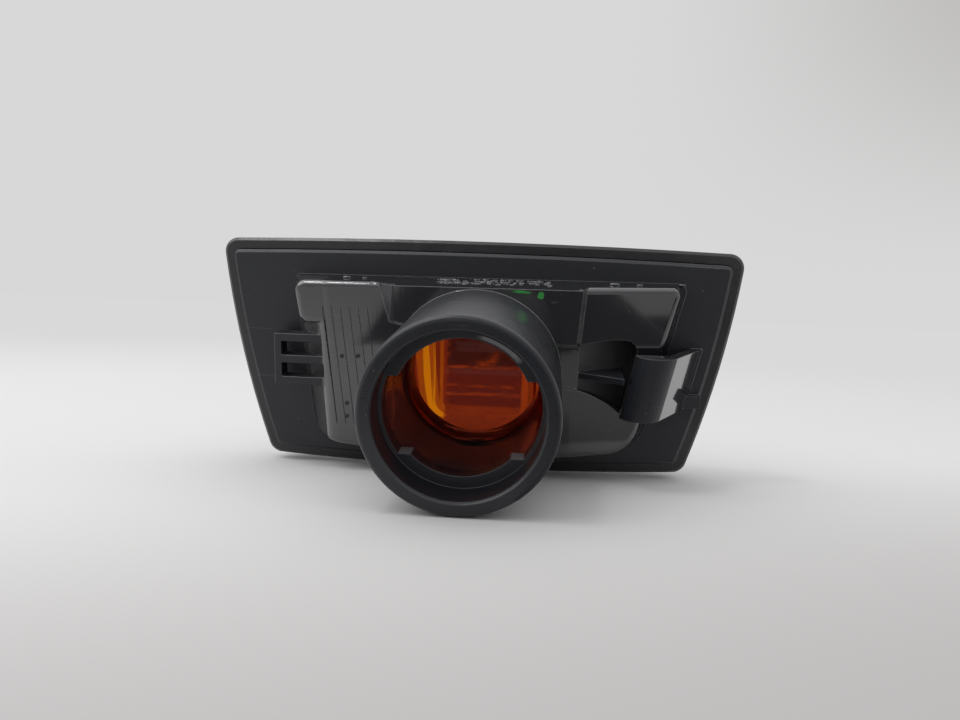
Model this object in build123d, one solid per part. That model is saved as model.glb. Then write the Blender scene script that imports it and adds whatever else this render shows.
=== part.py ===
from build123d import *
from math import cos, radians, sin, tan
import os

# Side repeater lamp, in millimetres. X runs along the flange, Z is up as fitted, -Y points inboard.
# The origin is on the bulb tube's axis, in the plane where the flange plate seats on the wing.

# How far one part of a moulding is sunk into the next
sink = 0.5

# Bulb tube and its bayonet ledges
tube_radius = 12.5
tube_wall = 2.0
tube_reach = 29.8
tube_mouth_depth = 5.0
tube_bore_step = 0.4
tube_rim_round = 0.7
tube_mouth_bevel = 0.3
ledge_width = 1.2
ledge_thickness = 2.6
upper_ledge_z = 3.75
lower_ledge_z = -6.25

# Flange outline: a trapezium with crowned sides, a little off the tube's axis
flange_top_width = 78.6
flange_bottom_width = 64.8
flange_centre_x = -0.5
flange_top_border = 4.9
flange_bottom_border = 3.85
flange_top_crown = 0.65
flange_bottom_crown = 1.1
flange_side_crown = 1.0
flange_corner_radius = 2.2

# Outer lens: a crowned cap, whose lip stands round the flange plate
lens_depth = 13.0
lens_wall = 2.2
lens_lip_width = 1.6
lens_lip_set_back = 1.0
lens_seat_width = 0.9
lens_side_taper = 10.0
lens_crown_radius_x = 150.0
lens_crown_radius_z = 48.0
lens_front_round = 2.6
lens_inner_corner = 0.6
lens_front_corner = 3.2
lens_rim_bevel = 0.4

# Flange plate of the housing
plate_thickness = 2.2
plate_gap = 0.1
plate_corner_radius = 0.9
plate_edge_bevel = 0.4

# Raised body: its foot on the plate, and how far each side draws in on the way to its rear face
body_depth = 5.1
body_wall = 1.5
body_top_left_margin = 0.65
body_top_right_margin = 1.15
body_bottom_margin = 0.6
body_left_border = 11.2
body_right_border = 8.0
body_low_left_border = 7.6
body_low_right_border = 6.9
body_bottom_crown = 1.8
body_left_run = 5.2
body_low_left_run = 3.7
body_right_run = 2.4
body_top_run = 0.5
body_bottom_run = 0.7
body_top_corner = 1.2
body_bottom_left_corner = 4.5
body_bottom_right_corner = 5.0
body_edge_round = 0.9
body_left_round = 3.2
shoulder_margin = 1.5
shoulder_slope = 7.0

# Boss at the body's upper left corner
boss_width = 6.0
boss_height = 8.0
boss_step = 0.1
boss_side_run = 1.4
boss_corner_round = 1.6
boss_edge_round = 1.0

# Flat pad round the upper half of the tube's root
pad_step = 1.4
pad_left_inset = 0.3
pad_right_margin = 2.6
pad_left_z = 7.6
pad_right_z = 5.0
pad_lean = 0.6
pad_left_facet = 3.5
pad_side_run = 0.8

# Fixed nose, which hooks behind the edge of the wing's cut-out
sheet_slot = 1.6
nose_reach = 3.5
nose_centre_z = 0.75
nose_height = 7.7
nose_thickness = 2.8
nose_wall = 1.15
nose_edge_round = 0.3

# Spring leaf: a ramp off the plate with a half-round head, beside a pocket that it flexes into
leaf_offset = 4.75
leaf_centre_z = -0.55
leaf_height = 9.2
leaf_ramp_angle = 59.0
leaf_thickness = 1.5
leaf_lean = 12.0
leaf_head_radius = 3.0
leaf_head_depth = 6.5
pocket_margin = 2.4
pocket_clearance = 1.6
pocket_gap = 0.4
pocket_tuck = 0.6
pocket_shallow = 0.9
pocket_rise = 0.85
pocket_level_run = 4.25
pocket_slant = 3.25
pocket_bow = 0.5
pocket_corner = 2.0
fin_thickness = 0.9
fin_z = 0.3
fin_low_drop = 0.5
fin_high_drop = 1.5
fin_gap = 0.7
tab_length = 2.1
tab_width = 1.9
tab_height = 1.0
tab_lift = 0.25

# Amber filter cup, seated on the rear wall of the chamber, with a round neck in the tube's bore
filter_wall = 1.0
filter_side_gap = 0.3
filter_front_gap = 2.1
filter_front_shift = 0.6
filter_front_width = 13.2
filter_front_height = 18.8
filter_corner_radius = 3.0
filter_rim_width = 0.9
filter_rim_thickness = 1.2
filter_lap = 0.7
neck_gap = 0.1
neck_wall = 0.5
neck_reach = 3.0
flute_count = 4
flute_height = 0.3
band_count = 5
band_height = 0.15
ridge_share = 0.85
ridge_peak = 0.7

# What follows from the sizes above
tube_mouth_radius = tube_radius - tube_wall
tube_bore_radius = tube_mouth_radius - tube_bore_step
chamber_y = body_wall - body_depth
flange_left_x = flange_centre_x - flange_top_width / 2
flange_right_x = flange_centre_x + flange_top_width / 2
flange_low_left_x = flange_centre_x - flange_bottom_width / 2
flange_low_right_x = flange_centre_x + flange_bottom_width / 2
body_left_x = flange_left_x + body_left_border
body_right_x = flange_right_x - body_right_border
body_low_left_x = flange_low_left_x + body_low_left_border
body_low_right_x = flange_low_right_x - body_low_right_border
body_top_left_z = tube_radius + body_top_left_margin
body_top_right_z = tube_radius + body_top_right_margin
body_bottom_z = body_bottom_margin - tube_radius
flange_top_z = body_top_left_z + flange_top_border
flange_bottom_z = body_bottom_z - flange_bottom_border
flange_middle_z = (flange_top_z + flange_bottom_z) / 2
shoulder_x = tube_radius + shoulder_margin
pocket_left_x = tube_radius + pocket_margin
pocket_left_y = pocket_shallow - body_depth
pocket_right_y = plate_thickness - body_wall
neck_radius = tube_bore_radius - neck_gap
leaf_bottom_z = leaf_centre_z - leaf_height / 2
leaf_top_z = leaf_centre_z + leaf_height / 2


def at_y(sketch, y):
    return Pos(0, y, 0) * (Plane.XZ * sketch)


def polygon(points):
    return make_face(Polyline(*points, close=True))


def round_corners(sketch, corners):
    for x, z, radius in corners:
        nearest = sketch.vertices().sort_by_distance((x, z, 0))[0]
        sketch = fillet(nearest, radius)
    return sketch


def flange_outline(inset, corner_radius):
    top_left = (flange_left_x, flange_top_z)
    top_right = (flange_right_x, flange_top_z)
    low_left = (flange_low_left_x, flange_bottom_z)
    low_right = (flange_low_right_x, flange_bottom_z)
    top_middle = (flange_centre_x, flange_top_z + flange_top_crown)
    low_middle = (flange_centre_x, flange_bottom_z - flange_bottom_crown)
    left_middle = ((flange_left_x + flange_low_left_x) / 2 - flange_side_crown, flange_middle_z)
    right_middle = ((flange_right_x + flange_low_right_x) / 2 + flange_side_crown, flange_middle_z)
    outline = make_face(
        [
            ThreePointArc(top_left, top_middle, top_right),
            ThreePointArc(top_right, right_middle, low_right),
            ThreePointArc(low_right, low_middle, low_left),
            ThreePointArc(low_left, left_middle, top_left),
        ]
    )
    if inset:
        outline = offset(outline, -inset, kind=Kind.INTERSECTION)
    return fillet(outline.vertices(), corner_radius)


def lens_form(inset, start_y, drop, rear_corner, rim_bevel):
    # Tapered side walls cut off by a crown that curves more from top to bottom than from end to end
    reach = lens_depth + sink
    rear_y = start_y + rim_bevel
    front_inset = inset + (reach - rear_y) * tan(radians(lens_side_taper))
    rear = at_y(flange_outline(inset, rear_corner), rear_y)
    front = at_y(flange_outline(front_inset, lens_front_corner), reach)
    sections = [rear, front]
    if rim_bevel:
        rim = flange_outline(inset + rim_bevel, rear_corner - rim_bevel)
        sections.insert(0, at_y(rim, start_y))
    half = flange_top_width
    crown_y = lens_depth - drop
    end_y = crown_y - half**2 / (2 * lens_crown_radius_x)
    axis_y = crown_y - lens_crown_radius_z
    profile = make_face(
        [
            ThreePointArc((-half, end_y), (0, crown_y), (half, end_y)),
            Polyline((half, end_y), (half, axis_y), (-half, axis_y), (-half, end_y)),
        ]
    )
    crown_axis = Axis((0, axis_y, flange_middle_z), (1, 0, 0))
    crown = revolve(Pos(0, 0, flange_middle_z) * profile, axis=crown_axis)
    return loft(sections, ruled=True) & crown


def make_outer_lens():
    outer = lens_form(0, lens_lip_set_back, 0, flange_corner_radius, lens_rim_bevel)
    outer = fillet(outer.faces().sort_by(Axis.Y)[-1].edges(), lens_front_round)
    seat_inset = lens_lip_width + lens_seat_width
    hollow = lens_form(seat_inset, plate_thickness, lens_wall, lens_inner_corner, 0)
    recess = flange_outline(lens_lip_width, plate_corner_radius + plate_gap)
    return outer - hollow - extrude(at_y(recess, plate_thickness), plate_thickness)


def body_outline(share, inset):
    # The body's section, with its right, top and bottom sides drawn in by a share of their runs
    right_run = body_right_run * share + inset
    top_run = body_top_run * share + inset
    bottom_run = body_bottom_run * share + inset
    top_left = (body_left_x + inset, body_top_left_z - top_run)
    top_right = (body_right_x - right_run, body_top_right_z - top_run)
    low_right = (body_low_right_x - right_run, body_bottom_z + bottom_run)
    low_left = (body_low_left_x + inset, body_bottom_z + bottom_run)
    low_middle = ((low_left[0] + low_right[0]) / 2, low_left[1] - body_bottom_crown)
    outline = make_face(
        [
            Line(top_left, top_right),
            Line(top_right, low_right),
            ThreePointArc(low_right, low_middle, low_left),
            Line(low_left, top_left),
        ]
    )
    corners = [
        (*top_left, body_top_corner),
        (*top_right, body_top_corner),
        (*low_right, body_bottom_right_corner),
        (*low_left, body_bottom_left_corner),
    ]
    return round_corners(outline, corners)


def body_top_z(x, depth):
    along = (x - body_left_x) / (body_right_x - body_left_x)
    foot_z = body_top_left_z + along * (body_top_right_z - body_top_left_z)
    return foot_z - body_top_run * depth / body_depth


def body_side_x(z):
    along = (body_top_left_z - z) / (body_top_left_z - body_bottom_z)
    return body_left_x + along * (body_low_left_x - body_left_x)


def left_slope(inset, rear_y, bend_round):
    # Everything right of the body's left side, which slopes and bends softly into the rear face
    front_y = plate_thickness + 2 * sink
    sections = []
    for z in (flange_bottom_z, flange_top_z):
        along = (body_top_left_z - z) / (body_top_left_z - body_bottom_z)
        run = body_left_run + along * (body_low_left_run - body_left_run)
        foot_x = body_side_x(z) + inset
        front_x = foot_x - run * front_y / body_depth
        rear_x = foot_x - run * rear_y / body_depth
        points = [(front_x, front_y), (rear_x, rear_y), (flange_right_x, rear_y), (flange_right_x, front_y)]
        section = round_corners(polygon(points), [(rear_x, rear_y, bend_round)])
        sections.append(Pos(0, 0, z) * section)
    return loft(sections, ruled=True)


def shoulder_cut(lift):
    # Everything behind the right shoulder, which slopes down to the body's end
    span = flange_top_width
    block = Box(span, span, span, align=(Align.MIN, Align.MAX, Align.CENTER))
    return Pos(shoulder_x, lift - body_depth, 0) * Rot(0, 0, shoulder_slope) * block


def body_block(inset, front_y, rear_y, bend_round):
    # The body between two depths, with each side drawn in by the inset
    foot = at_y(body_outline(0, inset), front_y)
    rear = at_y(body_outline((sink - rear_y) / body_depth, inset), rear_y - sink)
    return loft([foot, rear], ruled=True) & left_slope(inset, rear_y, bend_round)


def make_body():
    body = body_block(0, sink, -body_depth, body_left_round) - shoulder_cut(0)
    rear, _, shoulder = body.faces().sort_by(Axis.Y)[:3]
    rear_edges = rear.edges().sort_by(Axis.X)[1:]
    return fillet(rear_edges + shoulder.edges(), body_edge_round)


def make_chamber():
    # The hollow of the body, open to the lens and clear of the leaf's pocket
    hollow = body_block(body_wall, plate_thickness + sink, chamber_y, body_wall)
    return hollow - shoulder_cut(body_wall) - make_pocket(body_wall)


def boss_outline(side_run, top_run):
    low_z = body_top_left_z - boss_height
    inner_x = body_left_x + boss_width + body_left_run
    low_left = (body_side_x(low_z) + side_run, low_z + side_run)
    low_right = (inner_x, low_z + side_run)
    top_right = (inner_x, body_top_z(inner_x, 0) - top_run)
    top_left = (body_left_x + side_run, body_top_left_z - top_run)
    outline = polygon([low_left, low_right, top_right, top_left])
    return round_corners(outline, [(*low_left, boss_corner_round), (*top_left, boss_corner_round)])


def make_boss():
    foot = at_y(boss_outline(0, 0), sink)
    rear = at_y(boss_outline(boss_side_run, body_top_run), boss_step - body_depth)
    boss = loft([foot, rear], ruled=True)
    return fillet(boss.faces().sort_by(Axis.Y)[0].edges(), boss_edge_round)


def make_pad():
    foot_depth = body_depth - body_wall / 2
    rear_depth = body_depth + pad_step
    left_x = pad_left_inset - tube_radius
    right_x = tube_radius + pad_right_margin
    rear_points = [
        (left_x, body_top_z(left_x, rear_depth)),
        (right_x, body_top_z(right_x, rear_depth)),
        (right_x - pad_lean, pad_right_z),
        (0, pad_right_z),
        (left_x - pad_side_run / 2, pad_left_z),
    ]
    foot_points = [
        (left_x - pad_left_facet, body_top_z(left_x, foot_depth)),
        (right_x + pad_side_run, body_top_z(right_x, foot_depth)),
        (right_x - pad_lean + pad_side_run, pad_right_z - pad_side_run),
        (0, pad_right_z - pad_side_run),
        (left_x - pad_side_run, pad_left_z - pad_side_run),
    ]
    foot = at_y(polygon(foot_points), -foot_depth)
    rear = at_y(polygon(rear_points), -rear_depth)
    return loft([foot, rear], ruled=True)


def make_tube():
    ledge_y = tube_mouth_depth - tube_reach
    points = [
        (tube_mouth_radius + tube_mouth_bevel, -tube_reach),
        (tube_radius, -tube_reach),
        (tube_radius, chamber_y),
        (tube_bore_radius, chamber_y),
        (tube_bore_radius, ledge_y),
        (tube_mouth_radius, ledge_y),
        (tube_mouth_radius, tube_mouth_bevel - tube_reach),
    ]
    section = round_corners(polygon(points), [(*points[1], tube_rim_round)])
    tube = revolve(section, axis=Axis.Y)
    section_width = ledge_width + tube_wall / 2
    section = Rectangle(section_width, ledge_thickness, align=Align.MIN)
    section = Pos(tube_bore_radius - ledge_width, ledge_y) * section
    ledges = revolve(section, axis=Axis.Y)
    gap = Box(2 * tube_radius, 2 * ledge_thickness, upper_ledge_z - lower_ledge_z)
    ledges -= Pos(0, ledge_y + ledge_thickness / 2, (upper_ledge_z + lower_ledge_z) / 2) * gap
    return tube + ledges


def make_nose():
    # Two bars and a rib between them, joined by an end plate
    low_z = nose_centre_z - nose_height / 2
    end_x = body_side_x(nose_centre_z) - nose_reach
    root_x = body_side_x(low_z) + body_left_run
    rear_y = -sheet_slot - nose_thickness
    block = Pos(end_x, rear_y, low_z) * Box(root_x - end_x, nose_thickness, nose_height, align=Align.MIN)
    block = fillet(block.faces().sort_by(Axis.X)[0].edges(), nose_edge_round)
    cell_height = (nose_height - 3 * nose_wall) / 2
    cell = Box(root_x - end_x, nose_thickness + 2 * sink, cell_height, align=Align.MIN)
    for index in range(2):
        z = low_z + nose_wall + index * (cell_height + nose_wall)
        block -= Pos(end_x + nose_wall, rear_y - sink, z) * cell
    return block


def leaf_shift(z):
    return z * tan(radians(leaf_lean))


def leaf_root_x():
    along = body_top_right_z / (body_top_right_z - body_bottom_z)
    side_x = body_right_x + along * (body_low_right_x - body_right_x)
    return side_x + leaf_offset


def leaf_head_x():
    # The head's centre at z = 0, placed so that the ramp runs tangent to the head
    angle = radians(leaf_ramp_angle)
    return leaf_root_x() - (leaf_head_radius + leaf_head_depth * cos(angle)) / sin(angle)


def make_leaf():
    angle = radians(leaf_ramp_angle)
    slant = 1 / tan(angle)
    head_x = leaf_head_x() + leaf_shift(leaf_bottom_z)
    root_x = leaf_root_x() + leaf_shift(leaf_bottom_z)
    inner_x = root_x - leaf_thickness / sin(angle)
    sunk = plate_thickness / 2
    tangent_y = -leaf_head_depth - leaf_head_radius * cos(angle)
    tangent = (head_x + leaf_head_radius * sin(angle), tangent_y)
    crest = (head_x, -leaf_head_depth - leaf_head_radius)
    head_end = (head_x - leaf_head_radius, -leaf_head_depth)
    root = (root_x + sunk * slant, sunk)
    inner_root = (inner_x + sunk * slant, sunk)
    inner_bend = (inner_x - leaf_head_depth * slant, -leaf_head_depth)
    section = make_face(
        [
            Line(root, tangent),
            ThreePointArc(tangent, crest, head_end),
            Polyline(head_end, inner_bend, inner_root, root),
        ]
    )
    lean = Vector(leaf_shift(leaf_height), 0, leaf_height)
    return extrude(Pos(0, 0, leaf_bottom_z) * section, lean.length, dir=lean)


def pocket_right_x():
    return leaf_head_x() - leaf_head_radius + pocket_tuck


def pocket_floor_y(x):
    along = (x - pocket_left_x) / (pocket_right_x() - pocket_left_x)
    return pocket_left_y + along * (pocket_right_y - pocket_left_y)


def make_pocket(margin):
    # A recess whose floor slopes down to the leaf's head, grown by the margin where it is a lining
    top_z = leaf_top_z + pocket_clearance
    low_z = leaf_bottom_z - pocket_gap
    high_left = (pocket_left_x, top_z - pocket_rise)
    high_right = (pocket_right_x() + leaf_shift(top_z), top_z)
    peak = (high_right[0] - pocket_level_run, top_z)
    low_right = (pocket_right_x() + leaf_shift(low_z), low_z)
    low_left = (pocket_left_x, leaf_bottom_z + pocket_slant)
    bow = ((low_left[0] + low_right[0]) / 2, (low_left[1] + low_right[1]) / 2 + pocket_bow)
    outline = make_face(
        [
            Polyline(low_left, high_left, peak, high_right, low_right),
            ThreePointArc(low_right, bow, low_left),
        ]
    )
    outline = round_corners(outline, [(*high_right, pocket_corner)])
    if margin:
        outline = offset(outline, margin)
    rear_y = -2 * body_depth
    far_left = pocket_left_x - 2 * body_wall
    far_right = body_right_x
    section = polygon(
        [
            (far_left, rear_y),
            (far_left, pocket_floor_y(far_left) + margin),
            (far_right, pocket_floor_y(far_right) + margin),
            (far_right, rear_y),
        ]
    )
    ramp = extrude(Pos(0, 0, flange_bottom_z) * section, flange_top_z - flange_bottom_z)
    return ramp & extrude(at_y(outline, 2 * body_depth), 4 * body_depth)


def make_fin():
    left = pocket_left_x - sink
    right = leaf_head_x() - leaf_head_radius - fin_gap
    section = polygon(
        [
            (left, pocket_floor_y(left) + sink),
            (left, fin_low_drop - body_depth),
            (right, fin_high_drop - leaf_head_depth - leaf_head_radius),
            (right, pocket_floor_y(right) + sink),
        ]
    )
    return extrude(Pos(0, 0, fin_z - fin_thickness / 2) * section, fin_thickness)


def make_tab():
    root_x = leaf_root_x() + leaf_shift(leaf_bottom_z)
    start_x = root_x - tab_height / tan(radians(leaf_ramp_angle))
    block = Box(root_x + tab_length - start_x, tab_height + sink, tab_width, align=Align.MIN)
    return Pos(start_x, -tab_height, leaf_bottom_z + tab_lift) * block


def make_plate():
    outline = flange_outline(lens_lip_width + plate_gap, plate_corner_radius)
    plate = extrude(at_y(outline, plate_thickness), plate_thickness)
    return chamfer(plate.faces().sort_by(Axis.Y)[0].edges(), plate_edge_bevel)


def round_bar(radius, start_y, end_y):
    return Pos(0, (start_y + end_y) / 2, 0) * Rot(90, 0, 0) * Cylinder(radius, start_y - end_y)


def make_rear_housing():
    shell = make_plate() + make_body() + make_boss() + make_pad() + make_nose()
    shell -= make_chamber()
    shell -= make_pocket(0)
    shell -= round_bar(tube_bore_radius, plate_thickness, -tube_reach)
    return shell + make_tube() + make_leaf() + make_fin() + make_tab()


def ridge(start, end, inward, height):
    # One saw-tooth of a row, seen end on, with its back sunk into the wall that carries it
    peak = start + (end - start) * ridge_peak + inward * height
    back = inward * filter_wall
    return polygon([tuple(point)[:2] for point in (start - back, start, peak, end, end - back)])


def make_amber_filter():
    front_y = lens_depth - lens_wall - filter_front_gap - filter_wall
    rim_width = 2 * (min(shoulder_x, pocket_left_x - body_wall) - filter_side_gap)
    rear_width = rim_width - 2 * (filter_rim_width + filter_wall)
    rear_height = 2 * (neck_radius - neck_wall)

    def cup_form(wall):
        rear = RectangleRounded(rear_width + 2 * wall, rear_height + 2 * wall, filter_corner_radius)
        front = RectangleRounded(
            filter_front_width + 2 * wall, filter_front_height + 2 * wall, filter_corner_radius
        )
        front = Pos(filter_front_shift, 0) * front
        return loft([at_y(rear, chamber_y), at_y(front, front_y + wall)], ruled=True)

    cup = cup_form(filter_wall) - cup_form(0)
    rim = RectangleRounded(rim_width, 2 * (tube_bore_radius + filter_lap), filter_corner_radius)
    cup += extrude(at_y(rim, chamber_y + filter_rim_thickness), filter_rim_thickness)
    cup += round_bar(neck_radius, chamber_y + filter_rim_thickness / 2, chamber_y - neck_reach)
    cup -= round_bar(neck_radius - neck_wall, chamber_y + filter_rim_thickness, chamber_y - neck_reach)

    # The ridges end half-way through the walls that they meet
    core = cup_form(filter_wall / 2)
    lead = (1 - ridge_share) / 2

    # Upright flutes on both side walls
    for side in (-1, 1):
        rear_corner = Vector(side * rear_width / 2, chamber_y)
        front_corner = Vector(filter_front_shift + side * filter_front_width / 2, front_y)
        flute_step = (front_corner - rear_corner) / flute_count
        inward = Vector(flute_step.Y, -flute_step.X).normalized() * -side
        for index in range(flute_count):
            start = rear_corner + flute_step * (index + lead)
            section = ridge(start, start + flute_step * ridge_share, inward, flute_height)
            cup += extrude(section, rear_height, both=True) & core

    # Level bands across the front wall
    band_step = Vector(0, filter_front_height / band_count)
    for index in range(band_count):
        start = Vector(front_y, -filter_front_height / 2) + band_step * (index + lead)
        section = ridge(start, start + band_step * ridge_share, Vector(-1, 0), band_height)
        cup += extrude(Plane.YZ * section, filter_front_width, both=True) & core
    return cup


os.makedirs("parts", exist_ok=True)
makers = {
    "outer_lens": make_outer_lens,
    "rear_housing": make_rear_housing,
    "amber_filter": make_amber_filter,
}
for node, make in makers.items():
    piece = make()
    export_step(piece, f"parts/{node}.step")
    print(node, round(piece.volume), "mm3,", len(piece.faces()), "faces")
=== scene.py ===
import math
import random
from types import SimpleNamespace

import bpy
from mathutils import Euler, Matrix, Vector


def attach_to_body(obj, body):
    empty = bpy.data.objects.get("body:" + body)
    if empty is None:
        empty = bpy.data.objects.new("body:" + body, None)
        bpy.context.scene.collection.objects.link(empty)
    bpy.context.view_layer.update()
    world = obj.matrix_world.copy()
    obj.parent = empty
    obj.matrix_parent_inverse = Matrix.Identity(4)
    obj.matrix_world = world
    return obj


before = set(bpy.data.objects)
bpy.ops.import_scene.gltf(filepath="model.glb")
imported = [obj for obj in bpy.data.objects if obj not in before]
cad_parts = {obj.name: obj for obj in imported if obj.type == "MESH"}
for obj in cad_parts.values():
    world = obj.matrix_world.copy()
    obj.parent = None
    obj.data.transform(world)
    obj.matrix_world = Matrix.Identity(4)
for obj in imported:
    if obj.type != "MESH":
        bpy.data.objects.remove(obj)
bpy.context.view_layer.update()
mm = 0.001
print("frame loaded:", ", ".join(sorted(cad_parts)))


# a socket that Python operators can act on: each operator adds one Math node
class Wire:
    def __init__(self, tree, socket):
        self.tree = tree
        self.socket = socket

    def math(self, operation, *values):
        node = self.tree.nodes.new("ShaderNodeMath")
        node.operation = operation
        for slot, value in zip(node.inputs, values):
            if isinstance(value, Wire):
                self.tree.links.new(value.socket, slot)
            else:
                slot.default_value = value
        return Wire(self.tree, node.outputs[0])

    def twin(self, name):  # another output of the same node
        return Wire(self.tree, self.socket.node.outputs[name])

    def __add__(self, other):
        return self.math("ADD", self, other)

    def __sub__(self, other):
        return self.math("SUBTRACT", self, other)

    def __rsub__(self, other):
        return self.math("SUBTRACT", other, self)

    def __mul__(self, other):
        return self.math("MULTIPLY", self, other)

    def __truediv__(self, other):
        return self.math("DIVIDE", self, other)

    def __pow__(self, other):
        return self.math("POWER", self, other)

    def __and__(self, other):  # both masks
        return self.math("MINIMUM", self, other)

    def __or__(self, other):  # either mask
        return self.math("MAXIMUM", self, other)

    def __neg__(self):
        return self.math("MULTIPLY", self, -1.0)

    def __abs__(self):
        return self.math("ABSOLUTE", self)

    __radd__ = __add__
    __rmul__ = __mul__
    __rand__ = __and__
    __ror__ = __or__


# one material or world, with its tree and the few helpers that every finish uses
class Finish:
    def __init__(self, owner):
        owner.use_nodes = True
        self.owner = owner
        self.tree = owner.node_tree
        self.tree.nodes.clear()

    def node(self, kind, settings=None, sockets=None, out=0):
        made = self.tree.nodes.new("ShaderNode" + kind)
        for key, value in (settings or {}).items():
            setattr(made, key, value)
        for key, value in (sockets or {}).items():
            if isinstance(value, Wire):
                self.tree.links.new(value.socket, made.inputs[key])
            else:
                made.inputs[key].default_value = value
        return Wire(self.tree, made.outputs[out]) if len(made.outputs) else None

    def place(self):  # object coordinates in millimetres, whole and by axis
        metres = self.node("TexCoord", out="Object")
        scaled = self.node("VectorMath", {"operation": "SCALE"}, {0: metres, "Scale": 1000.0})
        x = self.node("SeparateXYZ", None, {0: scaled})
        return scaled, x, x.twin("Y"), x.twin("Z")

    def stretch(self, place, along):
        return self.node("VectorMath", {"operation": "MULTIPLY"}, {0: place, 1: along})

    def noise(self, place, scale, detail=3.0, roughness=0.5):
        sockets = {"Vector": place, "Scale": scale, "Detail": detail, "Roughness": roughness}
        return self.node("TexNoise", {"noise_dimensions": "3D"}, sockets)

    def step(self, value, low, high):  # 0 below one value and 1 above another
        sockets = {"Value": value, "From Min": low, "From Max": high}
        return self.node("MapRange", {"interpolation_type": "SMOOTHSTEP", "clamp": True}, sockets)

    def past(self, value, edge, soft):
        return self.step(value, edge - soft, edge + soft)

    def before(self, value, edge, soft):
        return 1 - self.past(value, edge, soft)

    def band(self, value, span, soft):  # 1 between two values, with soft ends
        return self.past(value, span[0], soft) & self.before(value, span[1], soft)

    def either(self, masks):  # the largest of several masks
        largest = masks[0]
        for mask in masks[1:]:
            largest = largest | mask
        return largest

    def patch(self, axes, centre, reach):  # 1 at the centre of an ellipsoid, 0 at its skin
        total = 1
        for axis, middle, half in zip(axes, centre, reach):
            total = total - ((axis - middle) / half) ** 2
        return total

    def specks(self, place, scale, radius, share):  # round dots in a share of the cells of a grid
        cell = self.node("TexVoronoi", None, {"Vector": place, "Scale": scale, "Randomness": 1.0})
        chance = self.node("SeparateColor", None, {0: cell.twin("Color")})
        chosen = self.step(chance, 1 - share, 1 - share + 0.01)
        return (1 - self.step(cell, radius * 0.5, radius)) & chosen

    def mix(self, share, first, second):
        return self.node("Mix", {"data_type": "RGBA"}, {0: share, 6: first, 7: second}, out=2)

    def soften(self, radius):  # the normal with sharp edges rounded off, and a mask of those edges
        rounded = self.node("Bevel", {"samples": 6}, {"Radius": radius * mm})
        plain = self.node("NewGeometry", out="Normal")
        same = self.node("VectorMath", {"operation": "DOT_PRODUCT"}, {0: rounded, 1: plain}, out="Value")
        return rounded, self.step(1 - same, 0.012, 0.1)

    def bump(self, height, strength, base=None):
        sockets = {"Height": height, "Strength": strength, "Distance": mm}
        if base:
            sockets["Normal"] = base
        return self.node("Bump", None, sockets)

    def principled(self, sockets):
        return self.node("BsdfPrincipled", None, sockets)

    def blend(self, share, first, second):
        return self.node("MixShader", None, {0: share, 1: first, 2: second})

    def close(self, shader, output="OutputMaterial"):
        self.node(output, None, {"Surface": shader})
        return self.owner


# the housing: polished on the body, satin on the flange, the tube, the nose and the leaf's head
plastic = {
    "polished": (0.0135, 0.0138, 0.0165, 1),
    "satin": (0.0095, 0.0105, 0.015, 1),
    "dust": (0.2, 0.2, 0.195, 1),
    "paintedPocketLight": (0.07, 0.07, 0.074, 1),  # painted light: a paler tone inside the leaf's pocket
    # scuffs, and a painted sheen on the body's left slope
    "scuffAndSheen": (0.06, 0.06, 0.063, 1),
    "worn": (0.14, 0.14, 0.145, 1),
    "paintedHighlight": (0.3, 0.3, 0.305, 1),  # painted highlight, the palest tone: on edges that look up, the flange's right edges, the lower ledge's ends and the upper ledge's face
    "marker": (0.02, 0.28, 0.04, 1),
    "edgeRound": 0.2,
    # where its parts lie in the frame, in mm: one limit, or from and to
    "flangeY": -0.75,
    "tubeRadius": 13.25, "tubeRootY": -6.9,
    "boreRadius": 10.7, "mouthY": -21.9,
    "seatZ": (-6.6, -5.9),  # the level ends of the lower ledge
    "gridX": (-24.5, -14.0), "gridY": (-5.6, -5.13),
    "facetX": (-16.6, -11.95), "facetY": -5.19, "facetZ": 6.2,
    # the body's left slope, where a sheen is painted
    "slopeX": -22.5, "slopeY": (-4.6, -1.0),
    "noseX": -28.0, "barsX": -23.1, "barsY": (-4.5, -4.3), "barsZ": (-3.2, 4.7),
    "headX": 20.1, "headY": -7.9,
    "tabX": 30.7, "tabY": -1.2,
    "finX": (15.2, 21.8), "finZ": (-0.2, 0.8),
    "pocketX": (14.8, 26.5), "pocketZ": (-6.0, 6.0),
    "shoulderX": 14.0, "shoulderY": -5.1, "shoulderSlope": 0.1228,
    # where its marks and its painted highlights lie
    "nicksZ": 13.0, "rightEdgeHighlightX": 29.0,
    "linesX": (-36.4, -32.0), "linesMiddleZ": 0.7, "linesOff": (3.66, 3.78),
    # where a highlight is painted on the upper ledge's face
    "ledgeFaceHighlight": {"centre": (5.0, -24.8, 8.2), "reach": (4.4, 1.2, 3.4), "radius": (9.1, 10.4)},
    "traces": [
        {"centre": (6.3, -6.0, 12.8), "reach": (2.6, 1.2, 0.32), "lean": 0.06, "weight": 1.0},
        {"centre": (9.1, -6.3, 12.0), "reach": (0.75, 0.9, 0.75), "lean": 0.0, "weight": 1.0},
        {"centre": (11.3, -6.4, 4.7), "reach": (0.5, 0.8, 0.4), "lean": 0.0, "weight": 1.3},
    ],
    "smear": {"centre": (6.9, -16.0, 10.6), "reach": (1.2, 7.0, 1.6)},
}


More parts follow.
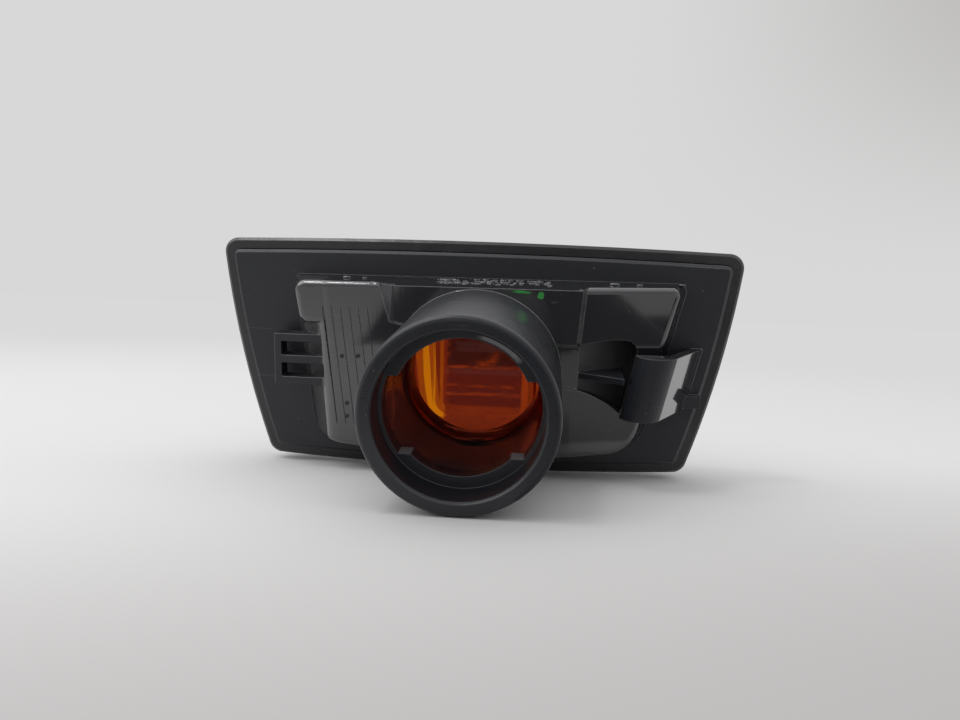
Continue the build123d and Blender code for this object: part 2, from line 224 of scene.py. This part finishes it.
def housingSkin(finish):  # masks of the housing's parts, by place
    place, x, y, z = finish.place()
    radius = (x * x + z * z) ** 0.5
    flange = finish.past(y, plastic["flangeY"], 0.15)
    bore = finish.before(radius, plastic["boreRadius"], 0.05)
    tube = finish.before(radius, plastic["tubeRadius"], 0.05) & finish.before(y, plastic["tubeRootY"], 0.3)
    tube = tube & (1 - bore)
    mouth = bore & finish.before(y, plastic["mouthY"], 0.2)
    ruled = finish.band(x, plastic["gridX"], 0.1) & finish.band(y, plastic["gridY"], 0.01)
    facet = finish.band(x, plastic["facetX"], 0.05) & finish.before(y, plastic["facetY"], 0.03)
    facet = facet & finish.past(z, plastic["facetZ"], 0.2)
    # the body's left slope, where a sheen is painted
    slope = finish.before(x, plastic["slopeX"], 1.0) & finish.band(y, plastic["slopeY"], 0.3)
    bars = finish.band(y, plastic["barsY"], 0.03) & finish.band(z, plastic["barsZ"], 0.05)
    nose = finish.before(x, plastic["noseX"], 0.4) | (bars & finish.before(x, plastic["barsX"], 0.1))
    head = finish.past(x, plastic["headX"], 0.1) & finish.before(y, plastic["headY"], 0.1)
    tab = finish.past(x, plastic["tabX"], 0.1) & finish.past(y, plastic["tabY"], 0.1)
    fin = finish.band(x, plastic["finX"], 0.1) & finish.band(z, plastic["finZ"], 0.02)
    sunk = y - plastic["shoulderY"] - (x - plastic["shoulderX"]) * plastic["shoulderSlope"]
    pocket = finish.band(x, plastic["pocketX"], 0.1) & finish.band(z, plastic["pocketZ"], 0.1)
    pocket = pocket & finish.past(sunk, 0.3, 0.2) & (1 - fin)
    satin = finish.either([flange, tube, mouth, ruled, head, tab, fin, nose, facet * 0.75])
    return SimpleNamespace(
        place=place, x=x, y=y, z=z, radius=radius, flange=flange, bore=bore, tube=tube, mouth=mouth,
        ruled=ruled, slope=slope, nose=nose, pocket=pocket, satin=satin,
    )


def housingWear(finish, skin):  # worn edges, dust, scuffs and the marker pen's traces, with the masks of the painted highlights and the painted light in the pocket
    place, x, y, z = skin.place, skin.x, skin.y, skin.z
    rounded, edges = finish.soften(plastic["edgeRound"])
    rise = finish.node("SeparateXYZ", None, {0: rounded}).twin("Z")
    # faces that look up, where a highlight is painted on the edges
    upper = finish.step(rise, 0.15, 0.6) & (1 - skin.ruled)
    clouds = finish.noise(place, 0.16, 3.0)
    grain = finish.noise(finish.stretch(place, (0.8, 1.0, 1.4)), 1.5, 5.0, 0.65)
    dust = finish.specks(place, 0.42, 0.05, 0.2) | finish.specks(place, 1.1, 0.09, 0.08)
    dust = dust & (1 - skin.bore)
    nicks = finish.specks(finish.stretch(place, (0.3, 1.0, 1.8)), 0.5, 0.08, 0.16)
    nicks = nicks & skin.flange & finish.past(z, plastic["nicksZ"], 0.5)
    streaks = finish.noise(finish.stretch(place, (0.35, 1.0, 2.6)), 0.9, 4.0, 0.62)
    scuffs = finish.step(streaks, 0.64, 0.74) * finish.step(clouds, 0.5, 0.62)
    # painted highlight along the flange's right edges
    rightEdgeHighlight = finish.past(x, plastic["rightEdgeHighlightX"], 2.0) & skin.flange
    lines = finish.band(abs(z - plastic["linesMiddleZ"]), plastic["linesOff"], 0.03)
    lines = lines & finish.band(x, plastic["linesX"], 0.1) & skin.flange

    # painted highlights: glints on the lower ledge's level ends and a streak on the upper ledge's face
    ledgeEndGlints = skin.mouth & finish.band(z, plastic["seatZ"], 0.05) & finish.step(rise, 0.75, 0.95)
    spot = plastic["ledgeFaceHighlight"]
    ledgeFaceHighlight = finish.patch((x, y, z), spot["centre"], spot["reach"])
    ledgeFaceHighlight = ledgeFaceHighlight & finish.band(skin.radius, spot["radius"], 0.3)
    ledgeFaceHighlight = finish.step(ledgeFaceHighlight + grain * 0.9, 0.75, 1.15) & skin.mouth

    traces = [
        finish.patch((x, y, z + x * trace["lean"]), trace["centre"], trace["reach"]) * trace["weight"]
        for trace in plastic["traces"]
    ]
    marker = finish.step(finish.either(traces) + grain * 1.3, 1.0, 1.3)
    smear = finish.patch((x, y, z), plastic["smear"]["centre"], plastic["smear"]["reach"])
    smear = (finish.step(smear + grain * 0.8, 0.7, 1.5) * 0.22) & skin.tube
    # painted light inside the leaf's pocket, uneven with the grain
    paintedPocketLight = skin.pocket * (0.45 + grain * 0.6)
    return SimpleNamespace(
        rounded=rounded, edges=edges, upper=upper, clouds=clouds, dust=dust, paintedPocketLight=paintedPocketLight, nicks=nicks,
        scuffs=scuffs, rightEdgeHighlight=rightEdgeHighlight, lines=lines, ledgeEndGlints=ledgeEndGlints, ledgeFaceHighlight=ledgeFaceHighlight, marker=marker, smear=smear,
    )


def polishedFaces(finish, skin, wear):  # very slightly wavy, as moulded faces sink
    waves = finish.noise(skin.place, 0.1, 1.0)
    hairs = finish.noise(finish.stretch(skin.place, (2.4, 1.0, 0.12)), 1.6, 3.0, 0.6)
    dull = wear.dust | wear.marker | skin.pocket
    tone = finish.mix(wear.dust, plastic["polished"], plastic["dust"])
    # scuffs, a painted sheen on the left slope, and a paler bore
    tone = finish.mix((wear.scuffs * 0.5) | (skin.slope * 0.45) | (skin.bore * 0.45), tone, plastic["scuffAndSheen"])
    tone = finish.mix(wear.edges * 0.7, tone, plastic["worn"])
    # painted highlight on edges that look up
    tone = finish.mix(wear.edges * wear.upper * 0.7, tone, plastic["paintedHighlight"])
    # painted light inside the leaf's pocket
    tone = finish.mix(wear.paintedPocketLight, tone, plastic["paintedPocketLight"])
    tone = finish.mix(wear.marker, tone, plastic["marker"])
    relief = waves * 0.22 + hairs * 0.006 + wear.scuffs * 0.02 + wear.dust * 0.03
    return finish.principled({
        "Base Color": tone,
        "Roughness": 0.06 + waves * 0.05 + wear.scuffs * 0.12 + skin.slope * 0.25 + dull * 0.4,
        "IOR": 1.62,
        "Coat Weight": (1 - dull) * (1 - skin.bore * 0.95),
        "Coat IOR": 1.62,
        "Coat Roughness": 0.05,
        "Normal": finish.bump(relief, 0.6, wear.rounded),
    })


def satinFaces(finish, skin, wear):  # with a fine even grain
    tooth = finish.noise(skin.place, 6.5, 2.0)
    tone = finish.mix(wear.dust | (wear.nicks * 0.7), plastic["satin"], plastic["dust"])
    tone = finish.mix((wear.scuffs * 0.6) | (wear.lines * 0.5) | (wear.clouds * 0.12), tone, plastic["scuffAndSheen"])
    tone = finish.mix(wear.edges * (0.34 - skin.nose * 0.28), tone, plastic["worn"])
    # painted highlight on edges that look up, strongest on the nose's bars, and along the flange's right
    # edges
    paintedLight = (wear.upper * (0.2 + skin.nose * 0.5)) | (wear.rightEdgeHighlight * 0.6)
    tone = finish.mix(wear.edges * paintedLight, tone, plastic["paintedHighlight"])
    # painted light inside the leaf's pocket
    tone = finish.mix(wear.paintedPocketLight, tone, plastic["paintedPocketLight"])
    # painted glints on the lower ledge's ends and a painted highlight on the upper ledge's face
    tone = finish.mix((wear.ledgeEndGlints * 0.8) | (wear.ledgeFaceHighlight * 0.75), tone, plastic["paintedHighlight"])
    tone = finish.mix(wear.smear, tone, plastic["marker"])
    relief = tooth * 0.05 + wear.scuffs * 0.03 + wear.lines * 0.06 + wear.dust * 0.03
    return finish.principled({
        "Base Color": tone,
        "Roughness": 0.34 + wear.clouds * 0.1 + tooth * 0.06 - skin.tube * 0.13 - wear.edges * 0.08,
        "IOR": 1.5,
        "Normal": finish.bump(relief, 0.6, wear.rounded),
    })


def blackPlastic():
    finish = Finish(bpy.data.materials.new("black_plastic"))
    skin = housingSkin(finish)
    wear = housingWear(finish, skin)
    polished = polishedFaces(finish, skin, wear)
    satin = satinFaces(finish, skin, wear)
    return finish.close(finish.blend(skin.satin, polished, satin))


# the lens: smoked acrylic, blacked out along its lip
lens = {
    "smoke": (0.66, 0.645, 0.62, 1),
    "lip": (0.013, 0.0132, 0.0155, 1),
    "lipY": 2.7,
}


def smokedLens():
    finish = Finish(bpy.data.materials.new("smoked_lens"))
    place, x, y, z = finish.place()
    haze = finish.noise(place, 0.2, 3.0)
    hair = finish.noise(finish.stretch(place, (0.5, 1.0, 3.0)), 1.4, 4.0, 0.65)
    hairlines = finish.step(hair, 0.68, 0.74)
    lip = finish.before(y, lens["lipY"], 0.15)
    clear = finish.principled({
        "Base Color": lens["smoke"],
        "Roughness": 0.02 + haze * 0.03 + hairlines * 0.12,
        "IOR": 1.45,
        "Transmission Weight": 1.0,
        "Normal": finish.bump(haze * 0.05 + hairlines * 0.01, 0.3),
    })
    black = finish.principled({
        "Base Color": lens["lip"],
        "Roughness": 0.24 + haze * 0.1 + hairlines * 0.12,
        "IOR": 1.58,
        "Normal": finish.bump(haze * 0.4 + hairlines * 0.02, 0.4),
    })
    return finish.close(finish.blend(lip, clear, black))


# the filter: amber that is deep red, with painted light that makes the left wall's strips pale
amber = {
    "deep": (0.172, 0.02, 0.0108, 1),
    "darkest": (0.088, 0.0138, 0.0088, 1),
    "middle": (0.44, 0.054, 0.009, 1),
    "ruby": (0.3, 0.03, 0.009, 1),
    # painted light, seen in the left wall's strips
    "paintedLight": (1.0, 0.3, 0.006, 1),
    "neck": (0.112, 0.0185, 0.0142, 1),
    # where its walls and marks lie, in mm
    "leftX": -5.75, "rightX": 6.45, "frontY": 6.85, "neckY": -2.75,
    "stripNear": 1.425, "stripNearLean": 0.2, "stripFar": 4.9, "stripFarLean": 0.13, "fluteY": (5.9, 6.6),
    "lines": [((-2.3, -1.85), 0.12), ((-5.35, -5.0), 0.1), ((-6.8, -6.4), 0.12)],
    "crescentX": 0.3, "crescentZ": 0.2, "crescentRadius": (1.2, 2.2),
    "glintsX": (-5.9, -5.2), "darkZ": -2.1, "floorZ": -8.55,
}


def amberPlastic():
    finish = Finish(bpy.data.materials.new("amber_plastic"))
    place, x, y, z = finish.place()
    swirl = finish.noise(finish.stretch(place, (1.0, 1.0, 0.25)), 0.35, 3.0)
    uneven = finish.noise(finish.stretch(place, (0.5, 1.0, 1.6)), 0.8, 4.0, 0.6)
    left = finish.before(x, amber["leftX"], 0.15)
    right = finish.past(x, amber["rightX"], 0.15)
    front = finish.past(y, amber["frontY"], 0.15)
    # the left wall's strips, where light is painted
    wedge = finish.past(y + z * amber["stripNearLean"], amber["stripNear"], 0.125)
    wedge = wedge & finish.before(y + z * amber["stripFarLean"], amber["stripFar"], 0.1)
    strip = wedge | finish.band(y, amber["fluteY"], 0.1)
    lines = finish.either([finish.band(z, span, soft) for span, soft in amber["lines"]])
    ring = ((x - amber["crescentX"]) ** 2 + (z - amber["crescentZ"]) ** 2) ** 0.5
    crescent = finish.band(ring, amber["crescentRadius"], 0.5) * finish.step(x * 0.5 - z, 0.0, 1.6) * 0.7
    # painted glints near the front's left corner
    glints = finish.band(x, amber["glintsX"], 0.15) & finish.step(uneven, 0.52, 0.6)
    tone = finish.mix(finish.past(z, amber["darkZ"], 0.9), amber["deep"], amber["darkest"])
    tone = finish.mix((lines | crescent) & front & finish.step(uneven, 0.36, 0.62), tone, amber["middle"])
    tone = finish.mix(finish.past(-z, -amber["floorZ"], 0.25) * (0.25 + uneven * 0.6), tone, amber["middle"])
    tone = finish.mix(right | (glints & front), tone, amber["middle"])
    tone = finish.mix(left, tone, amber["ruby"])
    # painted light in the left wall's strips
    tone = finish.mix(left & strip, tone, amber["paintedLight"])
    tone = finish.mix(finish.before(y, amber["neckY"], 0.35), tone, amber["neck"])
    return finish.close(finish.principled({
        "Base Color": tone,
        "Roughness": 0.05 + swirl * 0.05,
        "IOR": 1.2,
        "Transmission Weight": 1.0,
        "Normal": finish.bump(swirl * 0.25, 0.4),
    }))


def dress(node, material):
    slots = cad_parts[node].data.materials
    slots.clear()
    slots.append(material)


housingFinish = blackPlastic()
dress("rear_housing", housingFinish)
dress("outer_lens", smokedLens())
dress("amber_filter", amberPlastic())
print("finishes set")


# helpers for the new pieces, which are all of the housing's plastic
def clearSelection():
    bpy.ops.object.select_all(action="DESELECT")


def settle(*pieces):  # join what was made, with its place in its mesh
    clearSelection()
    for piece in pieces:
        piece.select_set(True)
    bpy.context.view_layer.objects.active = pieces[0]
    if len(pieces) > 1:
        bpy.ops.object.join()
    bpy.ops.object.transform_apply(location=True, rotation=True, scale=True)
    return bpy.context.object


def addModifier(piece, kind, **settings):  # and apply it
    modifier = piece.modifiers.new(kind.lower(), kind)
    for key, value in settings.items():
        setattr(modifier, key, value)
    bpy.ops.object.modifier_apply(modifier=modifier.name)


def repeat(piece, count, shift):
    addModifier(piece, "ARRAY", count=count, use_relative_offset=False, use_constant_offset=True,
                constant_offset_displace=Vector(shift) * mm)


def attach(piece, name):
    piece.name = name
    piece.data.name = name
    piece.data.materials.clear()
    piece.data.materials.append(housingFinish)
    bpy.ops.object.shade_smooth_by_angle(angle=math.radians(40))
    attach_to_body(piece, "root")


def addBlock(centre, size, turn=0.0):
    clearSelection()
    bpy.ops.mesh.primitive_cube_add(
        size=1, location=Vector(centre) * mm, rotation=(0, turn, 0), scale=Vector(size) * mm
    )
    return settle(bpy.context.object)


# the date grid on the body's left face: slanted ribs with fainter rungs between them
grid = {
    "left": -22.84, "pitch": 1.34, "lines": 6, "top": 9.1, "foot": -8.7, "lean": 0.117,
    "face": -5.1, "proud": 0.05, "sunk": 0.2, "rib": 0.11, "rung": 0.05, "rungLower": 0.02, "rows": 12,
    "bevel": 0.015,
}


def dateGrid():
    height = grid["top"] - grid["foot"]
    depth = grid["proud"] + grid["sunk"]
    middleY = grid["face"] + (grid["sunk"] - grid["proud"]) / 2
    middleZ = (grid["top"] + grid["foot"]) / 2
    tilt = -math.atan(grid["lean"])
    middleX = grid["left"] + grid["lean"] * height / 2
    ribs = addBlock((middleX, middleY, middleZ), (grid["rib"], depth, height / math.cos(tilt)), tilt)
    repeat(ribs, grid["lines"], (grid["pitch"], 0, 0))
    span = grid["pitch"] * (grid["lines"] - 1)
    drop = height / (grid["rows"] + 1)
    firstX = grid["left"] + grid["lean"] * drop + span / 2
    firstRung = (firstX, middleY + grid["rungLower"], grid["top"] - drop)
    rungs = addBlock(firstRung, (span, depth, grid["rung"]))
    repeat(rungs, grid["rows"], (grid["lean"] * drop, 0, -drop))
    piece = settle(ribs, rungs)
    addModifier(piece, "BEVEL", width=grid["bevel"] * mm, segments=2, limit_method="ANGLE")
    attach(piece, "date_grid")


# four dished pips that mark the grid
pips = {
    "places": [(-19.91, 1.70), (-17.51, 1.80), (-19.20, -5.47), (-19.22, -7.49)],
    "radius": 0.33, "height": 0.3, "border": 0.1, "dish": 0.09, "bevel": 0.03,
}


def datePips():
    clearSelection()
    x, z = pips["places"][0]
    bpy.ops.mesh.primitive_cylinder_add(
        vertices=20, radius=pips["radius"] * mm, depth=pips["height"] * mm,
        location=Vector((x, grid["face"], z)) * mm, rotation=(math.radians(90), 0, 0),
    )
    pip = settle(bpy.context.object)
    bpy.ops.object.mode_set(mode="EDIT")
    bpy.ops.mesh.select_mode(type="FACE")
    bpy.ops.mesh.select_all(action="DESELECT")
    bpy.ops.object.mode_set(mode="OBJECT")
    for face in pip.data.polygons:
        face.select = face.normal.y < -0.9
    bpy.ops.object.mode_set(mode="EDIT")
    bpy.ops.mesh.inset(thickness=pips["border"] * mm)
    bpy.ops.transform.translate(value=(0, pips["dish"] * mm, 0))
    bpy.ops.object.mode_set(mode="OBJECT")
    addModifier(pip, "BEVEL", width=pips["bevel"] * mm, segments=2, limit_method="ANGLE")
    copies = [pip]
    for nextX, nextZ in pips["places"][1:]:
        clearSelection()
        pip.select_set(True)
        bpy.context.view_layer.objects.active = pip
        bpy.ops.object.duplicate()
        bpy.ops.transform.translate(value=Vector((nextX - x, 0, nextZ - z)) * mm)
        copies.append(bpy.context.object)
    attach(settle(*copies), "date_pips")


# welding flash: a crust of lumps on the body's top wall, a broken line at its root, drops and a few scabs
flash = {
    "seed": 7, "voxel": 0.07,
    "lumps": 130, "lumpX": (-6.2, 10.6), "lumpY": (-4.3, -0.8), "lumpSize": (0.11, 0.24),
    "lumpStretch": (1.0, 2.4),
    "dashes": 26, "dashX": (-12.0, 10.0), "dashY": -0.35, "dashLength": (0.2, 0.6), "dashSize": 0.12,
    "scabs": 22, "scabX": (12.9, 14.7), "scabZ": (-2.3, -1.4), "scabSize": (0.07, 0.13),
    "drops": [(-19.84, -2.0, 0.5), (-17.12, -2.0, 0.3), (19.69, -2.0, 0.62), (23.27, -2.0, 0.38),
              (29.5, -1.0, 0.4), (14.75, -6.3, 0.26), (-12.1, -6.3, 0.22)],
    "wallLeft": -28.6, "wallLength": 59.4, "wallZ": 13.15, "wallRise": 0.5, "wallLean": 0.098,
}


def wallHeight(x, y):
    along = (x - flash["wallLeft"]) / flash["wallLength"]
    return flash["wallZ"] + along * flash["wallRise"] + y * flash["wallLean"]


def faceDepth(x):  # the body's rear face, which slopes past its shoulder
    return plastic["shoulderY"] + max(0, x - plastic["shoulderX"]) * plastic["shoulderSlope"]


def flashLumps():  # the place and the half sizes of each lump
    chance = random.Random(flash["seed"])
    lumps = []
    for _ in range(flash["lumps"]):
        x = chance.uniform(*flash["lumpX"])
        y = chance.uniform(*flash["lumpY"])
        size = chance.uniform(*flash["lumpSize"])
        length = size * chance.uniform(*flash["lumpStretch"])
        lumps.append(((x, y, wallHeight(x, y)), (length, size, size * 0.7)))
    for _ in range(flash["dashes"]):
        x, y, size = chance.uniform(*flash["dashX"]), flash["dashY"], flash["dashSize"]
        lumps.append(((x, y, wallHeight(x, y)), (chance.uniform(*flash["dashLength"]), size, size)))
    for _ in range(flash["scabs"]):
        x, z = chance.uniform(*flash["scabX"]), chance.uniform(*flash["scabZ"])
        size = chance.uniform(*flash["scabSize"])
        lumps.append(((x, faceDepth(x), z), (size * 1.5, size, size)))
    for x, y, size in flash["drops"]:
        lumps.append(((x, y, wallHeight(x, y) + size * 0.1), (size * 1.4, size, size * 0.5)))
    return lumps


def weldFlash():
    pieces = []
    for place, size in flashLumps():
        clearSelection()
        bpy.ops.mesh.primitive_ico_sphere_add(
            subdivisions=2, radius=1, location=Vector(place) * mm, scale=Vector(size) * mm
        )
        pieces.append(bpy.context.object)
    piece = settle(*pieces)
    addModifier(piece, "REMESH", mode="VOXEL", voxel_size=flash["voxel"] * mm)
    addModifier(piece, "SMOOTH", factor=0.5, iterations=2)
    attach(piece, "weld_flash")


dateGrid()
datePips()
weldFlash()
print("marks and welding flash modelled")

# the table, painted darker towards the front, and darker still in reflections where the viewer stands over
# it: painted shade that only reflections show
stage = {
    "rimBottom": Vector((0, 1.0, -16.85)),  # where the lens rim meets the table
    "tubeBottom": Vector((0, -29.8, -12.5)),  # where the tube's mouth meets it
    "reach": 1500.0,
    "table": (0.68, 0.675, 0.67, 1),
    "cloudGain": 1.03,
    # painted shade towards the front
    "paintedFrontShade": (0.45, 0.44, 0.435, 1),
    "nearY": (-100.0, 0.0),
    "nearSlant": 0.45,
    "far": (0.7, 0.695, 0.695, 1),
    "fade": (130.0, 420.0),  # how far out the table turns into plain backdrop
    "shade": (0.065, 0.065, 0.067, 1),
    "shaded": [  # zones in x and in y, and how dark each is
        {"x": (-30.0, 55.0), "y": (-190.0, -62.0), "share": 1.0},
        {"x": (55.0, 90.0), "y": (-88.0, -62.0), "share": 1.0},
        {"x": (8.0, 45.0), "y": (-62.0, -18.0), "share": 0.55},
    ],
    "shadeSoft": 0.8,
}


def tableHeight(y):
    rim, tube = stage["rimBottom"], stage["tubeBottom"]
    return rim.z + (tube.z - rim.z) / (tube.y - rim.y) * (y - rim.y)


def tablePaper():
    finish = Finish(bpy.data.materials.new("table"))
    place, x, y, z = finish.place()
    cloud = finish.noise(place, 0.012, 3.0)
    paler = tuple(channel * stage["cloudGain"] for channel in stage["table"][:3]) + (1,)
    tone = finish.mix(cloud, stage["table"], paler)
    # painted shade: darker towards the front, more so on the right
    tone = finish.mix(1 - finish.step(y - x * stage["nearSlant"], *stage["nearY"]), tone, stage["paintedFrontShade"])
    paper = finish.principled({"Base Color": tone, "Roughness": 0.8, "Specular IOR Level": 0.0})
    distant = finish.node("Emission", None, {"Color": stage["far"]})
    surface = finish.blend(finish.step((x * x + y * y) ** 0.5, *stage["fade"]), paper, distant)
    soft = stage["shadeSoft"]
    zones = [
        (finish.band(x, zone["x"], soft) & finish.band(y, zone["y"], soft)) * zone["share"]
        for zone in stage["shaded"]
    ]
    shaded = finish.either(zones) & finish.node("LightPath", out="Is Glossy Ray")
    dark = finish.node("BsdfDiffuse", None, {"Color": stage["shade"]})
    return finish.close(finish.blend(shaded, surface, dark))


def tableFloor():
    clearSelection()
    bpy.ops.mesh.primitive_plane_add(size=2)
    floor = bpy.context.object
    floor.name = "table"
    for corner in floor.data.vertices:
        x, y = corner.co.x * stage["reach"], corner.co.y * stage["reach"]
        corner.co = Vector((x, y, tableHeight(y))) * mm
    floor.data.materials.append(tablePaper())


tableFloor()

camera = {
    "place": Vector((10.1, -126.2, 28.1)),
    "turn": (77.873, -1.551, 4.821),
    "lens": 31.875,
    "sensor": 36.0,
    "nearest": 5.0,
    "farthest": 10000.0,
}


def photoCamera():
    data = bpy.data.cameras.new("camera")
    data.lens = camera["lens"]
    data.sensor_width = camera["sensor"]
    data.clip_start = camera["nearest"] * mm
    data.clip_end = camera["farthest"] * mm
    eye = bpy.data.objects.new("camera", data)
    eye.location = camera["place"] * mm
    eye.rotation_euler = Euler([math.radians(angle) for angle in camera["turn"]])
    bpy.context.scene.collection.objects.link(eye)
    bpy.context.scene.camera = eye


photoCamera()

lamps = {
    "windowLeft": {"place": (-380, -90, 430), "aim": (0, 0, 0), "size": 520, "watts": 1.1},
    "ceilingLamp": {"place": (-170, -40, 520), "aim": (0, 0, 0), "size": 70, "watts": 0.22},
}


def studioLamps():
    for name, lamp in lamps.items():
        data = bpy.data.lights.new(name, "AREA")
        data.size = lamp["size"] * mm
        data.energy = lamp["watts"]
        body = bpy.data.objects.new(name, data)
        body.location = Vector(lamp["place"]) * mm
        aim = Vector(lamp["aim"]) * mm - body.location
        body.rotation_euler = aim.to_track_quat("-Z", "Y").to_euler()
        bpy.context.scene.collection.objects.link(body)


studioLamps()

# a pale room, darker towards the viewer's side; its limits are in the direction's own units
room = {
    "wall": (0.69, 0.685, 0.685, 1),
    "ceiling": (1.08, 1.08, 1.09, 1),
    "ceilingLift": (0.3, 0.75),
    "viewer": (0.44, 0.44, 0.45, 1),
    "viewerSide": (0.15, 0.7),
    # painted shade in the backdrop's back right corner
    "corner": (0.41, 0.405, 0.395, 1),
    "cornerX": (0.05, 0.6), "cornerY": (0.0, 0.4), "cornerLift": (0.2, 0.5), "cornerSoft": 0.18,
    "tilt": 0.1412,  # the table slopes by this much towards the back
    "strength": 1.0,
}


def roomWorld():
    world = bpy.data.worlds.new("room")
    bpy.context.scene.world = world
    finish = Finish(world)
    direction = finish.node("TexCoord", out="Generated")
    x = finish.node("SeparateXYZ", None, {0: direction})
    y, z = x.twin("Y"), x.twin("Z")
    lift = z + y * room["tilt"]
    up = finish.step(lift, *room["ceilingLift"])
    front = finish.step(-y, *room["viewerSide"])
    light = finish.mix(up, room["wall"], room["ceiling"])
    light = finish.mix(front * (1 - up * 0.5), light, room["viewer"])
    # painted shade: the backdrop that the camera sees is darker in its back right corner
    corner = finish.step(x, *room["cornerX"]) * finish.step(y, *room["cornerY"])
    corner = corner * finish.band(lift, room["cornerLift"], room["cornerSoft"])
    backdrop = finish.mix(corner, room["wall"], room["corner"])
    light = finish.mix(finish.node("LightPath", out="Is Camera Ray"), light, backdrop)
    ambient = finish.node("Background", None, {"Color": light, "Strength": room["strength"]})
    finish.close(ambient, "OutputWorld")


roomWorld()
bpy.context.scene.view_settings.view_transform = "Standard"
print("stage, camera and light set")

bpy.context.view_layer.update()
